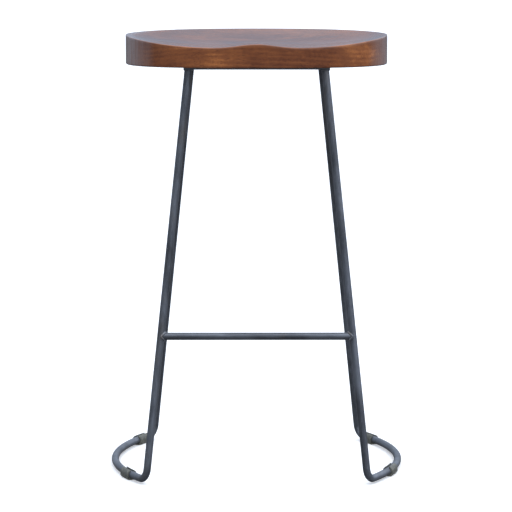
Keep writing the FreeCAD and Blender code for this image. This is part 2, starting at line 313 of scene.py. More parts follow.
@dataclass(frozen=True)
class LacqueredWood:
    """Reddish-brown hardwood with its grain along X, under a clear coat."""

    dark: Triple = (0.175, 0.050, 0.020)
    middle: Triple = (0.355, 0.113, 0.036)
    light: Triple = (0.740, 0.255, 0.074)
    stain: Triple = (0.130, 0.042, 0.026)
    grey: Triple = (0.125, 0.075, 0.052)
    # End tone: dull end grain, partly a painted reflection of the bright surroundings.
    end_grain_and_reflection: Triple = (0.42, 0.34, 0.335)
    pore: Triple = (0.030, 0.010, 0.007)
    paleness: tuple[tuple[float, float], ...] = (
        (0.10, 0.10),
        (0.33, 0.80),
        (0.50, 0.14),
        (0.63, 0.16),
        (0.74, 0.36),
        (0.87, 1.00),
        (0.97, 0.55),
    )
    half_length: float = 0.23
    along_wander: float = 0.045
    back_wander: float = 0.02
    front_band: tuple[float, float] = (-0.115, -0.060)
    back_paleness: float = 0.30
    # Reach of the end tone, partly a painted reflection, shifted a little so the left end takes
    # more.
    reflection_shift: float = 0.008
    reflection_span: tuple[float, float] = (0.62, 0.97)
    wall_span: tuple[float, float] = (0.90, 0.955)
    reflection_most: float = 0.90
    ring_scale: float = 42.0
    ring_share: float = 0.07
    coat_roughness: float = 0.10
    hand_carving: float = 0.9 * MILLI
    streak_relief: float = 0.12 * MILLI
    pore_depth: float = 0.10 * MILLI

    def drift(self, desk: ShaderDesk) -> Socket:
        """How pale the wood is, 0 to 1: palest at the front, towards the right end.

        Args:
            desk: The material's desk.

        Returns:
            The value.
        """
        across, depth, _ = desk.axes()
        wander = desk.noise((9.0, 9.0, 22.0), 3.0, 0.5, shift=(5.0, 0.0, 3.0))
        drift = desk.spread(wander, 0.2, 0.8, -self.along_wander, self.along_wander)
        along = desk.plus(across, drift)
        marks = [(mark, (tone,)) for mark, tone in self.paleness]
        pale = desk.ramp(desk.spread(along, -self.half_length, self.half_length), marks)
        back = desk.plus(depth, desk.spread(wander, 0.2, 0.8, -self.back_wander, self.back_wander))
        return desk.times(pale, desk.spread(back, *self.front_band, 1.0, self.back_paleness))

    def end_grain_and_reflection_share(self, desk: ShaderDesk, fibres: Socket) -> Socket:
        """How much of the greyish end tone shows, partly dull end grain and partly a painted
        reflection: most at the plank's two ends.

        Args:
            desk: The material's desk.
            fibres: Fine noise that breaks the edge up.

        Returns:
            The share, 0 to 1.
        """
        across, depth, _ = desk.axes()
        upright = desk.noise((160.0, 160.0, 14.0), 3.0, 0.6)
        shifted = desk.maths("SUBTRACT", across, self.reflection_shift)
        ends = desk.times(shifted, shifted)
        reflection_haze, rim = (
            [part * self.half_length**2 for part in span]
            for span in (self.reflection_span, self.wall_span)
        )
        share = desk.spread(ends, *reflection_haze, 0.0, self.reflection_most)
        outer = desk.plus(ends, desk.times(desk.times(depth, depth), 2.0))
        wall = desk.spread(outer, *rim, 0.15, 1.0)
        broken = desk.plus(desk.times(upright, 1.3), desk.times(fibres, 0.5))
        return desk.times(desk.times(share, wall), broken)

    def rings(self, desk: ShaderDesk) -> Socket:
        """Growth rings about a heart that lies below the plank and wanders a little.

        Args:
            desk: The material's desk.

        Returns:
            The rings, 0 to 1.
        """
        sway = desk.noise((2.2, 7.0, 7.0), 3.0, 0.5)
        heart = desk.stretched((0.35, 1.0, 1.0), shift=(0.0, 0.12, -1.9), turn=(0.05, 0.01, 0.012))
        inputs = {0: sway, 1: (0.0, 0.030, 0.030), 2: heart}
        swayed = desk.node("ShaderNodeVectorMath", inputs, operation="MULTIPLY_ADD")
        pattern = {"Vector": swayed.outputs[0], "Scale": self.ring_scale, "Distortion": 2.2}
        pattern |= {"Detail": 4.0, "Detail Scale": 1.6}
        return desk.node(
            "ShaderNodeTexWave", pattern, wave_type="RINGS", rings_direction="X", wave_profile="SIN"
        ).outputs["Fac"]

    def material(self) -> Material:
        """Builds the wood: growth rings, broad streaks, ribbon figure, pores and lacquer."""
        desk = ShaderDesk("lacquered_wood")
        streaks = desk.noise((9.0, 170.0, 250.0), 6.0, 0.66)
        fibres = desk.noise((26.0, 1000.0, 1000.0), 2.0, 0.5)
        tone = desk.times(self.rings(desk), self.ring_share)
        for layer, share in (
            (desk.noise((7.0, 11.0, 19.0), 5.0, 0.60, 0.9, shift=(0.4, 0.0, 0.0)), 0.62),
            (streaks, 0.28),
            (fibres, 0.12),
            (desk.noise((130.0, 34.0, 60.0), 2.0, 0.5, 1.4, shift=(1.0, 2.0, 0.0)), 0.15),
            (self.drift(desk), 0.36),
        ):
            tone = desk.plus(tone, desk.times(layer, share))
        colour = desk.ramp(
            desk.spread(tone, 0.53, 1.10),
            [(0.0, self.dark), (0.5, self.middle), (1.0, self.light)],
        )
        stain = desk.noise((5.5, 6.0, 16.0), 4.0, 0.55, 0.9, shift=(7.3, 1.0, 0.0))
        colour = desk.mix(desk.spread(stain, 0.48, 0.70, 0.0, 0.6), colour, self.stain)
        dull = desk.noise((8.0, 12.0, 10.0), 3.0, 0.5, shift=(2.0, 9.0, 4.0))
        colour = desk.mix(desk.spread(dull, 0.50, 0.78, 0.0, 0.35), colour, self.grey)
        # Greyish tone at both ends of the plank: dull end grain, partly a painted reflection.
        colour = desk.mix(self.end_grain_and_reflection_share(desk, fibres), colour, self.end_grain_and_reflection)
        pores = desk.noise((70.0, 1500.0, 1500.0), 1.0, 0.4, shift=(3.0, 5.0, 1.0))
        pits = desk.spread(pores, 0.60, 0.70)
        desk.colour(desk.mix(desk.times(pits, 0.55), colour, self.pore))
        wear = desk.noise((9.0, 14.0, 14.0), 4.0, 0.6)
        desk.roughness(wear, 0.36, 0.52)
        desk.constants(Coat_Weight=1.0, Coat_Roughness=self.coat_roughness, Coat_IOR=1.5)
        desk.constants(Specular_IOR_Level=0.1)
        hand = desk.noise((16.0, 22.0, 22.0), 2.0, 0.4)
        pitted = desk.times(pits, -1.0)
        desk.bumps(
            [(hand, self.hand_carving), (streaks, self.streak_relief), (pitted, self.pore_depth)]
        )
        return desk.material


@dataclass(frozen=True)
class GunmetalRod:
    """Blue-grey finish on drawn rod: faint draw lines, rubbed patches, brown tints and a painted
    highlight low on the bows.
    """

    name: str = "gunmetal_rod"
    deep: Triple = (0.060, 0.066, 0.078)
    worn: Triple = (0.205, 0.222, 0.256)
    brown: Triple = (0.150, 0.130, 0.105)
    speck: Triple = (0.30, 0.31, 0.33)
    line_scale: Triple = (900.0, 900.0, 30.0)
    patch_scale: Triple = (38.0, 38.0, 9.0)
    metallic: float = 0.55
    bow_top: float = 0.016

    def material(self) -> Material:
        """Builds the finish."""
        desk = ShaderDesk(self.name)
        patches = desk.noise(self.patch_scale, 6.0, 0.62, 0.3)
        _, _, height = desk.axes()
        drawn = desk.noise(self.line_scale, 3.0, 0.55)
        cloudy = desk.noise(180.0, 4.0, 0.6)
        upright = desk.spread(height, self.bow_top, self.bow_top * 2.5)
        lines = desk.mix(upright, cloudy, drawn)
        specks = desk.noise(620.0, 2.0, 0.5)
        tone = desk.plus(desk.times(patches, 0.75), desk.times(lines, 0.30))
        # Painted highlight: the tone is lifted low on the bows, where the rods face up to the
        # overhead light.
        painted_bow_highlight = desk.spread(height, self.bow_top * 0.8, self.bow_top * 1.4, 0.09, 0.0)
        tone = desk.plus(tone, painted_bow_highlight)
        colour = desk.ramp(desk.spread(tone, 0.32, 0.74), [(0.0, self.deep), (1.0, self.worn)])
        tint = desk.noise((24.0, 24.0, 9.0), 5.0, 0.6, shift=(4.0, 1.0, 6.0))
        colour = desk.mix(desk.spread(tint, 0.56, 0.72, 0.0, 0.6), colour, self.brown)
        desk.colour(desk.mix(desk.spread(specks, 0.66, 0.74, 0.0, 0.5), colour, self.speck))
        desk.roughness(patches, 0.30, 0.46)
        desk.constants(Metallic=self.metallic, Coat_Weight=0.35, Coat_Roughness=0.22)
        desk.bumps([(patches, 0.30 * MILLI), (lines, 0.06 * MILLI), (specks, 0.05 * MILLI)])
        return desk.material


@dataclass(frozen=True)
class WeldMetal:
    """Weld bead under the same finish: lighter, rougher, with heat tint."""

    base: Triple = (0.135, 0.145, 0.165)
    bright: Triple = (0.33, 0.345, 0.375)
    heat: Triple = (0.19, 0.155, 0.125)

    def material(self) -> Material:
        """Builds the finish."""
        desk = ShaderDesk("weld_metal")
        grit = desk.noise(700.0, 4.0, 0.6)
        cloud = desk.noise(160.0, 4.0, 0.6)
        colour = desk.ramp(desk.spread(cloud, 0.35, 0.68), [(0.0, self.base), (1.0, self.bright)])
        tint = desk.noise((90.0, 90.0, 90.0), 3.0, 0.5, shift=(2.0, 7.0, 3.0))
        desk.colour(desk.mix(desk.spread(tint, 0.5, 0.7, 0.0, 0.6), colour, self.heat))
        desk.roughness(grit, 0.38, 0.62)
        desk.constants(Metallic=0.6, Coat_Weight=0.2, Coat_Roughness=0.3)
        desk.bumps([(cloud, 0.50 * MILLI), (grit, 0.15 * MILLI)])
        return desk.material


@dataclass(frozen=True)
class ZincPlate:
    """Bright zinc on a pressed screw, dulled in cloudy patches."""

    base: Triple = (0.42, 0.42, 0.39)
    dull: Triple = (0.20, 0.20, 0.185)

    def material(self) -> Material:
        """Builds the finish."""
        desk = ShaderDesk("zinc_plate")
        cloud = desk.noise(320.0, 4.0, 0.6)
        scratch = desk.noise((2400.0, 300.0, 900.0), 2.0, 0.5)
        desk.colour(desk.ramp(desk.spread(cloud, 0.35, 0.65), [(0.0, self.dull), (1.0, self.base)]))
        desk.roughness(scratch, 0.25, 0.42)
        desk.constants(Metallic=1.0)
        desk.bumps([(cloud, 0.06 * MILLI), (scratch, 0.03 * MILLI)])
        return desk.material


@dataclass(frozen=True)
class MouldedPlastic:
    """Charcoal moulded plastic with a fine eroded grain, scuffed pale near the floor."""

    base: Triple = (0.112, 0.114, 0.100)
    scuffed: Triple = (0.430, 0.415, 0.335)
    scuff_height: float = 0.006

    def material(self) -> Material:
        """Builds the finish."""
        desk = ShaderDesk("moulded_plastic")
        grain = desk.noise(1500.0, 2.0, 0.5)
        cloud = desk.noise(210.0, 5.0, 0.65, 0.4)
        _, _, height = desk.axes()
        low = desk.spread(height, 0.0, self.scuff_height, 0.35, 0.0)
        share = desk.plus(desk.spread(cloud, 0.35, 0.70, 0.0, 0.55), low)
        desk.colour(desk.ramp(share, [(0.0, self.base), (1.0, self.scuffed)]))
        desk.roughness(cloud, 0.42, 0.62)
        desk.constants(Specular_IOR_Level=0.5)
        desk.bumps([(cloud, 0.30 * MILLI), (grain, 0.06 * MILLI)])
        return desk.material


# ---- mesh helpers


def in_scene(name: str, data: bpy.types.ID) -> bpy.types.Object:
    """Makes an object of a mesh, camera or light and links it to the scene."""
    made = bpy.data.objects.new(name, data)
    bpy.context.scene.collection.objects.link(made)
    return made


def new_piece(name: str, mesh: Mesh, material: Material) -> bpy.types.Object:
    """Puts a finished mesh in the scene as a smooth-shaded piece with its slot and material.

    Args:
        name: The piece's name.
        mesh: Its mesh, already in place.
        material: Its finish.

    Returns:
        The new object.
    """
    piece = in_scene(name, mesh)
    mesh.materials.clear()
    mesh.materials.append(material)
    for face in mesh.polygons:
        face.use_smooth = True
        face.material_index = 0
    return piece


def finish_piece(piece: bpy.types.Object, node: str) -> None:
    """Lets a piece ride on the stool's one body and stand for its CAD node."""
    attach(piece, BODY)
    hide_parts(node)
    log.info("%s: %d faces, stands for %s", piece.name, len(piece.data.polygons), node)


def polar(angle: float, radius: float, height: float = 0.0) -> Vector:
    """A point at an angle and radius about the upright axis."""
    return Vector((radius * math.cos(angle), radius * math.sin(angle), height))


def closed_mesh(name: str, rows: list[list[Vector]], start: Vector, end: Vector) -> Mesh:
    """A closed mesh from rows of points that run round it, with a point at each pole.

    Args:
        name: The mesh's name.
        rows: Equal rows, from the first pole to the last.
        start: The first pole.
        end: The last pole.

    Returns:
        The mesh, with outward normals.
    """
    shape = bmesh.new()
    loops = [[shape.verts.new(p) for p in row] for row in rows]
    count = len(rows[0])
    poles = (shape.verts.new(start), shape.verts.new(end))
    for i in range(count):
        j = (i + 1) % count
        shape.faces.new((poles[0], loops[0][j], loops[0][i]))
        shape.faces.new((poles[1], loops[-1][i], loops[-1][j]))
        for low, high in zip(loops, loops[1:]):
            shape.faces.new((low[i], low[j], high[j], high[i]))
    bmesh.ops.recalc_face_normals(shape, faces=shape.faces)
    mesh = bpy.data.meshes.new(name)
    shape.to_mesh(mesh)
    shape.free()
    return mesh


def softened_copy(node: str, width: float, material: Material) -> bpy.types.Object:
    """A copy of a CAD node with its sharp edges rounded, to stand for the node.

    Args:
        node: The CAD node.
        width: The rounding's width.
        material: Its finish.

    Returns:
        The new piece.
    """
    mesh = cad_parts[node].data.copy()
    shape = bmesh.new()
    shape.from_mesh(mesh)
    bmesh.ops.remove_doubles(shape, verts=shape.verts, dist=1e-6)
    bmesh.ops.dissolve_limit(
        shape,
        angle_limit=FLAT_ANGLE,
        verts=shape.verts,
        edges=shape.edges,
        delimit={"NORMAL"},
    )
    sharp = [e for e in shape.edges if e.is_manifold and e.calc_face_angle(0.0) > BEVEL_ANGLE]
    bmesh.ops.bevel(
        shape, geom=sharp, offset=width, segments=2, profile=0.6, affect="EDGES", clamp_overlap=True
    )
    shape.to_mesh(mesh)
    shape.free()
    mesh.name = f"{node}_soft"
    piece = new_piece(f"{node}_body", mesh, material)
    mesh.set_sharp_from_angle(angle=CREASE_ANGLE)
    finish_piece(piece, node)
    return piece


# ---- seat


@dataclass
class SaddleSeat:
    """The carved seat: two scoops, a ridge between them at the front and a raised back rim."""

    finish: LacqueredWood
    end_thickness: float = 51.0 * MILLI
    scoop_thickness: float = 33.5 * MILLI
    ridge_rise: float = 7.1 * MILLI
    ridge_spread: float = 45 * MILLI
    ridge_fade: float = 180 * MILLI
    slope_start: float = -60 * MILLI
    top_round: float = 2.0 * MILLI
    bottom_round: float = 2.5 * MILLI
    front_squareness: float = 2.7
    back_squareness: float = 2.1
    around: int = 320
    top_rows: int = 56
    wall_rows: int = 12
    round_steps: int = 5

    def __post_init__(self) -> None:
        """Takes the outer sizes from the CAD seat."""
        low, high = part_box("seat")
        self.half_width = min(-low.x, high.x)
        self.half_depth = (high.y - low.y) / 2
        self.floor = low.z
        self.rim_thickness = high.z - low.z

    def outline(self, angle: float, inset: float) -> Vector:
        """A point on the superellipse outline, moved inwards.

        Args:
            angle: Where round the outline.
            inset: Distance inwards, square to the outline.

        Returns:
            The point, at height zero.
        """
        squareness = self.back_squareness if math.sin(angle) >= 0 else self.front_squareness
        across, depth = math.cos(angle), math.sin(angle)
        x = math.copysign(abs(across) ** (2 / squareness), across)
        y = math.copysign(abs(depth) ** (2 / squareness), depth)
        normal = Vector(
            (
                math.copysign(abs(x) ** (squareness - 1), x) / self.half_width,
                math.copysign(abs(y) ** (squareness - 1), y) / self.half_depth,
                0.0,
            )
        ).normalized()
        return Vector((x * self.half_width, y * self.half_depth, 0.0)) - normal * inset

    def back_edge(self, x: float) -> float:
        """How far back the outline lies at x."""
        share = min(1.0, abs(x) / self.half_width)
        return (1 - share**self.back_squareness) ** (1 / self.back_squareness) * self.half_depth

    def thickness(self, x: float, y: float) -> float:
        """The carved thickness of the seat at a place.

        Args:
            x: Place across.
            y: Place front to back.

        Returns:
            Height of the top above the underside.
        """
        share = min(1.0, abs(x) / self.half_width)
        scoop = self.scoop_thickness + (self.end_thickness - self.scoop_thickness) * share**3
        rim = self.rim_thickness + (self.end_thickness - self.rim_thickness) * share**4
        climb = max(0.0, (y - self.slope_start) / (self.back_edge(x) - self.slope_start)) ** 2
        forward = max(0.0, self.ridge_fade - self.half_depth - y) / self.ridge_fade
        ridge = self.ridge_rise * math.exp(-((x / self.ridge_spread) ** 2)) * forward**1.5
        return scoop + (rim - scoop) * min(climb, 1.0) + ridge

    def row(
        self, inset: float, shrink: float, from_floor: float | None, from_top: float
    ) -> list[Vector]:
        """One row of points round the seat.

        Args:
            inset: Distance inside the outline.
            shrink: Scale towards the middle.
            from_floor: Height above the underside, or None for a row that follows the top.
            from_top: Depth below the carved top, for a row that follows it.

        Returns:
            The row's points.
        """
        points = []
        for step in range(self.around):
            angle = 2 * math.pi * (step + 0.5) / self.around
            p = self.outline(angle, inset) * shrink
            if from_floor is None:
                p.z = self.floor + self.thickness(p.x, p.y) - from_top
            else:
                p.z = self.floor + from_floor
            points.append(p)
        return points

    def wall_row(self, share: float) -> list[Vector]:
        """A row on the side wall, a share of the way from the lower round to the upper one."""
        points = []
        for step in range(self.around):
            p = self.outline(2 * math.pi * (step + 0.5) / self.around, 0.0)
            top = self.thickness(p.x, p.y) - self.top_round
            p.z = self.floor + self.bottom_round + (top - self.bottom_round) * share
            points.append(p)
        return points

    def rows(self) -> list[list[Vector]]:
        """All rows, from the middle of the underside over the side to the middle of the top."""
        shrinks = (0.2, 0.5, 0.8, 0.97, 1.0)
        rows = [self.row(self.bottom_round, shrink, 0.0, 0.0) for shrink in shrinks]
        for step in range(1, self.round_steps):
            turn = math.pi / 2 * step / self.round_steps
            inset = self.bottom_round * (1 - math.sin(turn))
            rows.append(self.row(inset, 1.0, self.bottom_round * (1 - math.cos(turn)), 0.0))
        rows += [self.wall_row(i / self.wall_rows) for i in range(self.wall_rows + 1)]
        for step in range(1, self.round_steps + 1):
            turn = math.pi / 2 * step / self.round_steps
            inset = self.top_round * (1 - math.cos(turn))
            rows.append(self.row(inset, 1.0, None, self.top_round * (1 - math.sin(turn))))
        for step in range(1, self.top_rows):
            rows.append(self.row(self.top_round, 1 - step / self.top_rows, None, 0.0))
        return rows

    def build(self) -> bpy.types.Object:
        """Builds the seat and lets it stand for the CAD seat."""
        bottom = Vector((0.0, 0.0, self.floor))
        top = Vector((0.0, 0.0, self.floor + self.thickness(0.0, 0.0)))
        mesh = closed_mesh("carved_seat", self.rows(), bottom, top)
        piece = new_piece("carved_seat", mesh, self.finish.material())
        finish_piece(piece, "seat")
        return piece


# ---- rods


@dataclass
class RodBase:
    """The two bent side frames and the footrest bar, which keep their CAD shape."""

    finish: GunmetalRod
    footrest_finish: GunmetalRod

    def dress(self) -> None:
        """Gives the rods their finish."""
        steel = self.finish.material()
        for node in ("left_side_frame", "right_side_frame"):
            self.paint(node, steel)
        self.paint("footrest_bar", self.footrest_finish.material())

    def paint(self, node: str, material: Material) -> None:
        """Puts a material on a CAD node."""
        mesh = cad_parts[node].data
        mesh.materials.clear()
        mesh.materials.append(material)
        log.info("%s: painted with %s", node, material.name)


@dataclass
class MountingFrame:
    """Four flat bars under the seat, with rolled edges."""

    finish: GunmetalRod
    edge_round: float = 0.45 * MILLI

    def build(self) -> None:
        """Builds the four bars."""
        steel = self.finish.material()
        for name in (*ENDS, *SIDES):
            softened_copy(f"{name}_mounting_bar", self.edge_round, steel)


@dataclass
class FloorGlides:
    """Four clip-on glides with soft moulded edges."""

    finish: MouldedPlastic
    edge_round: float = 0.45 * MILLI

    def build(self) -> None:
        """Builds the four glides."""
        plastic = self.finish.material()
        for end in ENDS:
            for side in SIDES:
                softened_copy(f"{end}_{side}_glide", self.edge_round, plastic)


# ---- geometry nodes


class NodeBench(Wiring):
    """Builds and runs one Geometry Nodes tree with named inputs."""

    def __init__(self, name: str) -> None:
        """Makes the empty tree with its input and output.

        Args:
            name: The tree's name.
        """
        super().__init__(bpy.data.node_groups.new(name, "GeometryNodeTree"))
        for way in ("INPUT", "OUTPUT"):
            self.tree.interface.new_socket("Geometry", in_out=way, socket_type="NodeSocketGeometry")
        self.source = self.node("NodeGroupInput", {})
        self.sink = self.node("NodeGroupOutput", {})

    def add_input(self, name: str, kind: str, value: object = None) -> Socket:
        """Adds a named input to the tree.

        Args:
            name: The input's name.
            kind: Float, Int, Object or Material.
            value: Its default, where it has one.

        Returns:
            The socket inside the tree.
        """
        socket = self.tree.interface.new_socket(
            name, in_out="INPUT", socket_type=f"NodeSocket{kind}"
        )
        if value is not None:
            socket.default_value = value
        return self.source.outputs[name]

    def random(self, low: Socket | float, high: Socket | float, seed: Socket) -> Socket:
        """A random number for each point.

        Args:
            low: The least.
            high: The most.
            seed: The seed.

        Returns:
            The number.
        """
        made = self.node("FunctionNodeRandomValue", {"Seed": seed}, data_type="FLOAT")
        ends = [s for s in made.inputs if s.name in ("Min", "Max") and s.type == "VALUE"]
        for value, end in zip((low, high), ends):
            self.feed(value, end)
        return next(s for s in made.outputs if s.type == "VALUE" and s.enabled)

    def close(self, points: Socket, piece: Socket, turn: Socket, scale: Socket | Triple) -> None:
        """Puts a piece on every point and ends the tree in Realize Instances and Set Material.

        Args:
            points: Where the pieces stand.
            piece: The piece's geometry.
            turn: Each one's rotation.
            scale: Each one's scale.
        """
        inputs = {"Points": points, "Instance": piece, "Rotation": turn, "Scale": scale}
        geometry = self.node("GeometryNodeInstanceOnPoints", inputs).outputs["Instances"]
        for kind in ("GeometryNodeRealizeInstances", "GeometryNodeSetShadeSmooth"):
            geometry = self.node(kind, {"Geometry": geometry}).outputs["Geometry"]
        inputs = {"Geometry": geometry, "Material": self.source.outputs["Finish"]}
        painted = self.node("GeometryNodeSetMaterial", inputs)
        self.feed(painted.outputs["Geometry"], self.sink.inputs["Geometry"])

    def run(self, base: Mesh, **values: object) -> Mesh:
        """Runs the tree on a mesh and returns the result as a plain mesh.

        Args:
            base: The mesh that the tree starts from.
            values: Inputs by name; an underscore stands for a space.

        Returns:
            The resulting mesh.
        """
        carrier = in_scene(f"{self.tree.name}_carrier", base)
        modifier = carrier.modifiers.new(self.tree.name, "NODES")
        modifier.node_group = self.tree
        names = {item.name: item.identifier for item in self.tree.interface.items_tree}
        for name, value in values.items():
            modifier[names[name.replace("_", " ")]] = value
        bpy.context.view_layer.update()
        settled = carrier.evaluated_get(bpy.context.evaluated_depsgraph_get())
        mesh = bpy.data.meshes.new_from_object(settled)
        carrier.modifiers.remove(modifier)
        bpy.data.objects.remove(carrier)
        return mesh


def path_mesh(name: str, path: list[Vector], closed: bool) -> Mesh:
    """A mesh of edges only, in one chain.

    Args:
        name: The mesh's name.
        path: Points of the chain.
        closed: Whether it closes on itself.

    Returns:
        The mesh.
    """
    edges = [(i, i + 1) for i in range(len(path) - 1)]
    if closed:
        edges.append((len(path) - 1, 0))
    mesh = bpy.data.meshes.new(name)
    mesh.from_pydata(path, edges, [])
    return mesh


@dataclass
class WeldBeads:
    """Rippled beads: round the footrest's ends, round the leg tops and across the bar joints."""

    finish: WeldMetal
    bead_radius: float = 1.9 * MILLI
    leg_bead_share: float = 0.65
    seam_radius: float = 1.5 * MILLI
    ripple_pitch: float = 0.8 * MILLI
    ripple_flatness: float = 0.72
    jitter: float = 0.16
    blob_segments: int = 14
    blob_rings: int = 9
    path_steps: int = 72
    lift: float = 0.5 * MILLI
    least_along: float = 1.2 * MILLI
    ring_drop: float = 1.1 * MILLI
    ring_gap: float = 0.6 * MILLI
    footrest_seed: int = 5
    leg_seed: int = 11
    seam_seed: int = 31

    def __post_init__(self) -> None:
        """Finds the rod's size and the joints from the CAD boxes."""
        low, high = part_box("footrest_bar")
        self.rod_radius = (high.z - low.z) / 2
        self.bar_middle = (low + high) / 2
        self.bars_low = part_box("front_mounting_bar")[0].z
        self.steel = self.finish.material()
        self.tree = self.ripple_tree()

    def ripple_tree(self) -> NodeBench:
        """A tree that lays overlapping flattened beads along every path."""
        bench = NodeBench("weld_ripples")
        pitch = bench.add_input("Pitch", "Float", self.ripple_pitch)
        radius = bench.add_input("Bead Radius", "Float", self.bead_radius)
        jitter = bench.add_input("Jitter", "Float", self.jitter)
        seed = bench.add_input("Seed", "Int", self.footrest_seed)
        bench.add_input("Finish", "Material")
        curve = bench.node("GeometryNodeMeshToCurve", {"Mesh": bench.source.outputs["Geometry"]})
        inputs = {"Curve": curve.outputs["Curve"], "Length": pitch}
        steps = bench.node("GeometryNodeResampleCurve", inputs, mode="LENGTH")
        inputs = {"Segments": self.blob_segments, "Rings": self.blob_rings, "Radius": radius}
        blob = bench.node("GeometryNodeMeshUVSphere", inputs)
        tangent = bench.node("GeometryNodeInputTangent", {}).outputs["Tangent"]
        align = bench.node("FunctionNodeAlignEulerToVector", {"Vector": tangent}, axis="Z")
        least, most = (bench.maths(kind, 1.0, jitter) for kind in ("SUBTRACT", "ADD"))
        size = bench.random(least, most, seed)
        inputs = {"X": size, "Y": size, "Z": bench.times(size, self.ripple_flatness)}
        scale = bench.node("ShaderNodeCombineXYZ", inputs).outputs["Vector"]
        bench.close(steps.outputs["Curve"], blob.outputs["Mesh"], align.outputs["Rotation"], scale)
        return bench

    def leg_axis(self, side: int) -> tuple[Vector, Vector]:
        """A front leg's middle line.

        Args:
            side: -1 for left, 1 for right.

        Returns:
            The point level with the footrest, and the direction up the leg.
        """
        name = "left" if side < 0 else "right"
        low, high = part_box(f"{name}_footrest_weld")
        joint = Vector((low.x if side < 0 else high.x, self.bar_middle.y, self.bar_middle.z))
        low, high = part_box(f"front_{name}_leg_weld")
        top = Vector(((low.x + high.x) / 2, (low.y + high.y) / 2, self.bars_low))
        return joint, (top - joint).normalized()

    def footrest_path(self, side: int) -> list[Vector]:
        """The saddle line where the footrest bar meets a front leg."""
        joint, up_leg = self.leg_axis(side)
        inward = Vector((-side, 0, 0))
        reach = self.rod_radius + self.lift
        points = []
        for step in range(self.path_steps):
            angle = 2 * math.pi * step / self.path_steps
            around = Vector((0, math.cos(angle), math.sin(angle))) * reach
            # distance from the leg's middle line equals reach: solve for the place along the bar
            a = 1 - inward.dot(up_leg) ** 2
            b = -2 * around.dot(up_leg) * inward.dot(up_leg)
            c = around.dot(around) - around.dot(up_leg) ** 2 - reach**2
            along = (-b + math.sqrt(max(0.0, b * b - 4 * a * c))) / (2 * a)
            points.append(joint + around + inward * max(along, self.least_along))
        return points

    def leg_top_path(self, name: str) -> list[Vector]:
        """The ring where a leg meets the flat bar above it."""
        low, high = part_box(f"{name}_leg_weld")
        level = self.bars_low - self.ring_drop
        middle = Vector(((low.x + high.x) / 2, (low.y + high.y) / 2, level))
        reach = self.rod_radius + self.ring_gap
        turns = (2 * math.pi * i / self.path_steps for i in range(self.path_steps))
        return [middle + polar(turn, reach) for turn in turns]

    def seam_path(self, name: str) -> list[Vector]:
        """The line across the underside of a joint between two bars."""
        low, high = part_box(f"{name}_seam_weld")
        y = (low.y + high.y) / 2
        ends = (low.x + self.seam_radius, high.x - self.seam_radius)
        return [Vector((x, y, self.bars_low)) for x in ends]

    def lay(self, name: str, path: list[Vector], closed: bool, radius: float, seed: int) -> None:
        """Lays one bead and lets it stand for its CAD node.

        Args:
            name: The joint's name, which its CAD node starts with too.
            path: The bead's line.
            closed: Whether the line closes on itself.
            radius: The bead's radius.
            seed: Seed for the uneven ripples.
        """
        mesh = self.tree.run(
            path_mesh(f"{name}_line", path, closed),
            Pitch=self.ripple_pitch,
            Bead_Radius=radius,
            Jitter=self.jitter,
            Seed=seed,
            Finish=self.steel,
        )
        mesh.name = f"{name}_bead"
        finish_piece(new_piece(mesh.name, mesh, self.steel), f"{name}_weld")

    def build(self) -> None:
        """Lays all the beads."""
        for name, side in SIDES.items():
            path = self.footrest_path(side)
            self.lay(f"{name}_footrest", path, True, self.bead_radius, self.footrest_seed + side)
        leg_radius = self.bead_radius * self.leg_bead_share
        for i, corner in enumerate(f"{end}_{side}" for end in ENDS for side in SIDES):
            ring, seam = self.leg_top_path(corner), self.seam_path(corner)
            self.lay(f"{corner}_leg", ring, True, leg_radius, self.leg_seed + i)
            self.lay(f"{corner}_seam", seam, False, self.seam_radius, self.seam_seed + i)


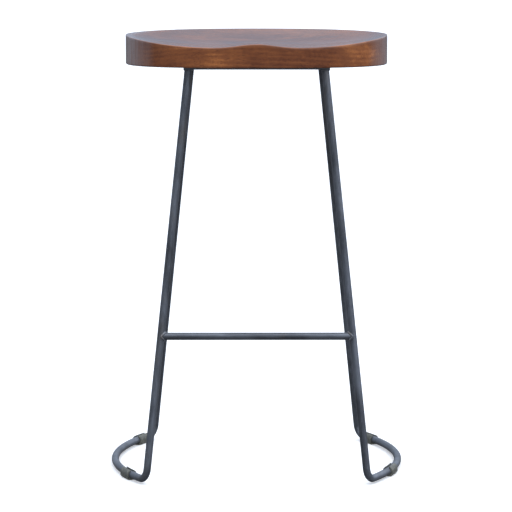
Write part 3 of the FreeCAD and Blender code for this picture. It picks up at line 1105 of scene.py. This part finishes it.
@dataclass
class SeatScrews:
    """Countersunk wood screws with a cross recess, threaded into the seat."""

    finish: ZincPlate
    head_radius: float = 4.4 * MILLI
    head_height: float = 2.25 * MILLI
    shank_radius: float = 2.1 * MILLI
    thread_pitch: float = 1.8 * MILLI
    thread_depth: float = 0.45 * MILLI
    recess_radius: float = 2.3 * MILLI
    recess_width: float = 0.95 * MILLI
    recess_depth: float = 1.5 * MILLI
    rim_round: float = 0.20 * MILLI
    tip_radius: float = 0.02 * MILLI
    plain_share: float = 0.1
    taper_rate: float = 4.2
    rows_per_turn: int = 6
    spin_seed: int = 4
    cross_offset: float = 60 * MILLI
    side_offset: float = 70 * MILLI
    around: int = 48

    def head_rows(self, angle: float) -> list[tuple[float, float]]:
        """Radius and height of the head's rows at one angle, from the recess to the shank.

        Args:
            angle: Where round the screw.

        Returns:
            Pairs of radius and height above the head's face.
        """
        wing = max(abs(math.sin(2 * angle)), 0.12)
        slot, middle = self.recess_width * 0.6 / wing, self.recess_width * 0.75
        edge = min(self.recess_radius, max(slot, middle))
        return [
            (edge * 0.30, self.recess_depth),
            (edge * 0.80, self.recess_depth * 0.85),
            (edge, self.rim_round),
            (edge * 1.04 + 0.1 * MILLI, 0.06 * MILLI),
            (max(edge * 1.1, 2.8 * MILLI), 0.04 * MILLI),
            (self.head_radius - 0.25 * MILLI, 0.03 * MILLI),
            (self.head_radius, self.rim_round),
            (self.shank_radius, self.head_height),
        ]

    def template(self, length: float) -> Mesh:
        """One screw, its head's face at the origin and its point up.

        Args:
            length: From the head's face to the point.

        Returns:
            The mesh.
        """
        angles = [2 * math.pi * i / self.around for i in range(self.around)]
        columns = [self.head_rows(angle) for angle in angles]
        rows = [
            [polar(angle, *place) for angle, place in zip(angles, level)] for level in zip(*columns)
        ]
        body = length - self.head_height
        thread_rows = int(body / self.thread_pitch * self.rows_per_turn)
        for step in range(1, thread_rows):
            share = step / thread_rows
            taper = min(1.0, (1 - share) * self.taper_rate)
            depth = self.thread_depth if share > self.plain_share else 0.0
            row = []
            for angle in angles:
                turn = body * share / self.thread_pitch * 2 * math.pi - angle
                crest = max(0.0, math.cos(turn)) ** 3 * depth
                reach = (self.shank_radius - self.thread_depth + crest) * taper + self.tip_radius
                row.append(polar(angle, reach, self.head_height + body * share))
            rows.append(row)
        recess, tip = Vector((0, 0, self.recess_depth)), Vector((0, 0, length))
        return closed_mesh("screw_template", rows, recess, tip)

    def places(self) -> list[Vector]:
        """Where the eight heads lie, from the boxes of the flat bars and the CAD screws."""
        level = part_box("seat_screws")[0].z
        cross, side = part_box("rear_mounting_bar"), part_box("right_mounting_bar")
        along = (cross[0].y + cross[1].y) / 2
        across = (side[0].x + side[1].x) / 2
        signs = [(i, j) for i in (-1, 1) for j in (-1, 1)]
        points = [Vector((i * self.cross_offset, j * along, level)) for i, j in signs]
        return points + [Vector((i * across, j * self.side_offset, level)) for i, j in signs]

    def placing_tree(self) -> NodeBench:
        """A tree that puts a screw on every point, each turned by its own angle."""
        bench = NodeBench("seat_screw_set")
        screw = bench.add_input("Screw", "Object")
        seed = bench.add_input("Seed", "Int", self.spin_seed)
        bench.add_input("Finish", "Material")
        info = bench.node("GeometryNodeObjectInfo", {"Object": screw})
        points = bench.node("GeometryNodeMeshToPoints", {"Mesh": bench.source.outputs["Geometry"]})
        turn = bench.node("ShaderNodeCombineXYZ", {"Z": bench.random(0.0, math.pi, seed)})
        geometry = info.outputs["Geometry"]
        bench.close(points.outputs["Points"], geometry, turn.outputs["Vector"], (1.0, 1.0, 1.0))
        return bench

    def build(self) -> None:
        """Builds the screws and lets them stand for the CAD ones."""
        low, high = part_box("seat_screws")
        template = in_scene("screw_template", self.template(high.z - low.z))
        base = bpy.data.meshes.new("screw_places")
        base.from_pydata(self.places(), [], [])
        zinc = self.finish.material()
        mesh = self.placing_tree().run(base, Screw=template, Seed=self.spin_seed, Finish=zinc)
        bpy.data.objects.remove(template)
        mesh.name = "wood_screws"
        piece = new_piece("wood_screws", mesh, zinc)
        mesh.set_sharp_from_angle(angle=THREAD_CREASE_ANGLE)
        finish_piece(piece, "seat_screws")


# ---- studio


@dataclass
class Studio:
    """A pale floor, soft light from above and the camera."""

    lens: float = 186.6
    camera_distance: float = 4.627
    camera_height: float = 0.969
    camera_side: float = -0.017
    pitch: float = 0.12925
    yaw: float = 0.0035
    sensor: float = 36.0
    furthest: float = 400.0
    overhead: Triple = (1.22, 1.32, 1.50)
    horizon: Triple = (0.272, 0.305, 0.350)
    behind: Triple = (0.285, 0.350, 0.452)
    light_lean: Triple = (0.30, -0.12, 0.95)
    low_light: float = 0.05
    high_light: float = 0.75
    softbox_place: Triple = (0.0, -0.3, 2.9)
    softbox_aim: Triple = (0.0, 0.0, 0.4)
    softbox_colour: Triple = (0.95, 0.98, 1.0)
    softbox_size: float = 3.0
    softbox_power: float = 18.0
    floor_half: float = 120.0
    floor_bounce: Triple = (0.16, 0.155, 0.15)
    floor_tone: float = 0.94
    floor_glow: float = 0.32

    def build(self) -> None:
        """Builds the camera, floor, world and light."""
        self.camera()
        self.floor()
        self.world()
        self.softbox()

    def camera(self) -> None:
        """Stands the camera in front of the stool, a little above the seat, tipped down."""
        data = bpy.data.cameras.new("camera")
        data.lens = self.lens
        data.sensor_width = self.sensor
        data.clip_end = self.furthest
        camera = in_scene("camera", data)
        camera.location = (self.camera_side, -self.camera_distance, self.camera_height)
        camera.rotation_euler = (math.pi / 2 - self.pitch, 0.0, -self.yaw)
        bpy.context.scene.camera = camera

    def floor(self) -> None:
        """Lays a plain pale floor that throws back less light than it shows."""
        mesh = bpy.data.meshes.new("floor")
        half = self.floor_half
        corners = [(-half, -half, 0.0), (half, -half, 0.0), (half, half, 0.0), (-half, half, 0.0)]
        mesh.from_pydata(corners, [], [(0, 1, 2, 3)])
        floor = in_scene("floor", mesh)
        desk = ShaderDesk("pale_floor")
        seen = desk.node("ShaderNodeLightPath", {}).outputs["Is Camera Ray"]
        desk.colour(desk.ramp(seen, [(0.0, self.floor_bounce), (1.0, (self.floor_tone,))]))
        glow = desk.ramp(seen, [(0.0, (0.0,)), (1.0, (self.floor_glow,))])
        desk.feed(glow, desk.shader.inputs["Emission Color"])
        desk.constants(Roughness=0.9, Specular_IOR_Level=0.0, Emission_Strength=1.0)
        mesh.materials.append(desk.material)

    def world(self) -> None:
        """Surrounds the stool with soft light, brightest overhead and coolest low behind it."""
        world = bpy.data.worlds.new("studio")
        world.use_nodes = True
        tree = world.node_tree
        desk = NodeDesk(tree, tree.nodes.new("ShaderNodeTexCoord").outputs["Generated"])
        inputs = {0: desk.place, 1: self.light_lean}
        lean = desk.node("ShaderNodeVectorMath", inputs, operation="DOT_PRODUCT")
        _, depth, _ = desk.axes()
        low = desk.mix(desk.spread(depth, 0.0, 0.5), self.horizon, self.behind)
        rise = desk.ramp(
            lean.outputs["Value"], [(self.low_light, (0.0,)), (self.high_light, (1.0,))]
        )
        desk.feed(desk.mix(rise, low, self.overhead), tree.nodes["Background"].inputs["Color"])
        bpy.context.scene.world = world
        bpy.context.scene.view_settings.view_transform = "Standard"

    def softbox(self) -> None:
        """Hangs one large square softbox over the stool."""
        data = bpy.data.lights.new("top_softbox", "AREA")
        data.size = self.softbox_size
        data.energy = self.softbox_power
        data.color = self.softbox_colour
        light = in_scene("top_softbox", data)
        light.location = self.softbox_place
        aim = Vector(self.softbox_aim) - Vector(self.softbox_place)
        light.rotation_euler = aim.to_track_quat("-Z", "Y").to_euler()


def main() -> None:
    """Builds the stool piece by piece."""
    logging.basicConfig(level=logging.INFO, format="%(name)s: %(message)s")
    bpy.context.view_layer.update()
    rod = GunmetalRod()
    across = GunmetalRod(
        name="gunmetal_crossways", line_scale=(30.0, 900.0, 900.0), patch_scale=(9.0, 30.0, 30.0)
    )
    Studio().build()
    SaddleSeat(LacqueredWood()).build()
    RodBase(rod, across).dress()
    MountingFrame(across).build()
    FloorGlides(MouldedPlastic()).build()
    WeldBeads(WeldMetal()).build()
    SeatScrews(ZincPlate()).build()


if __name__ == "__main__":
    main()
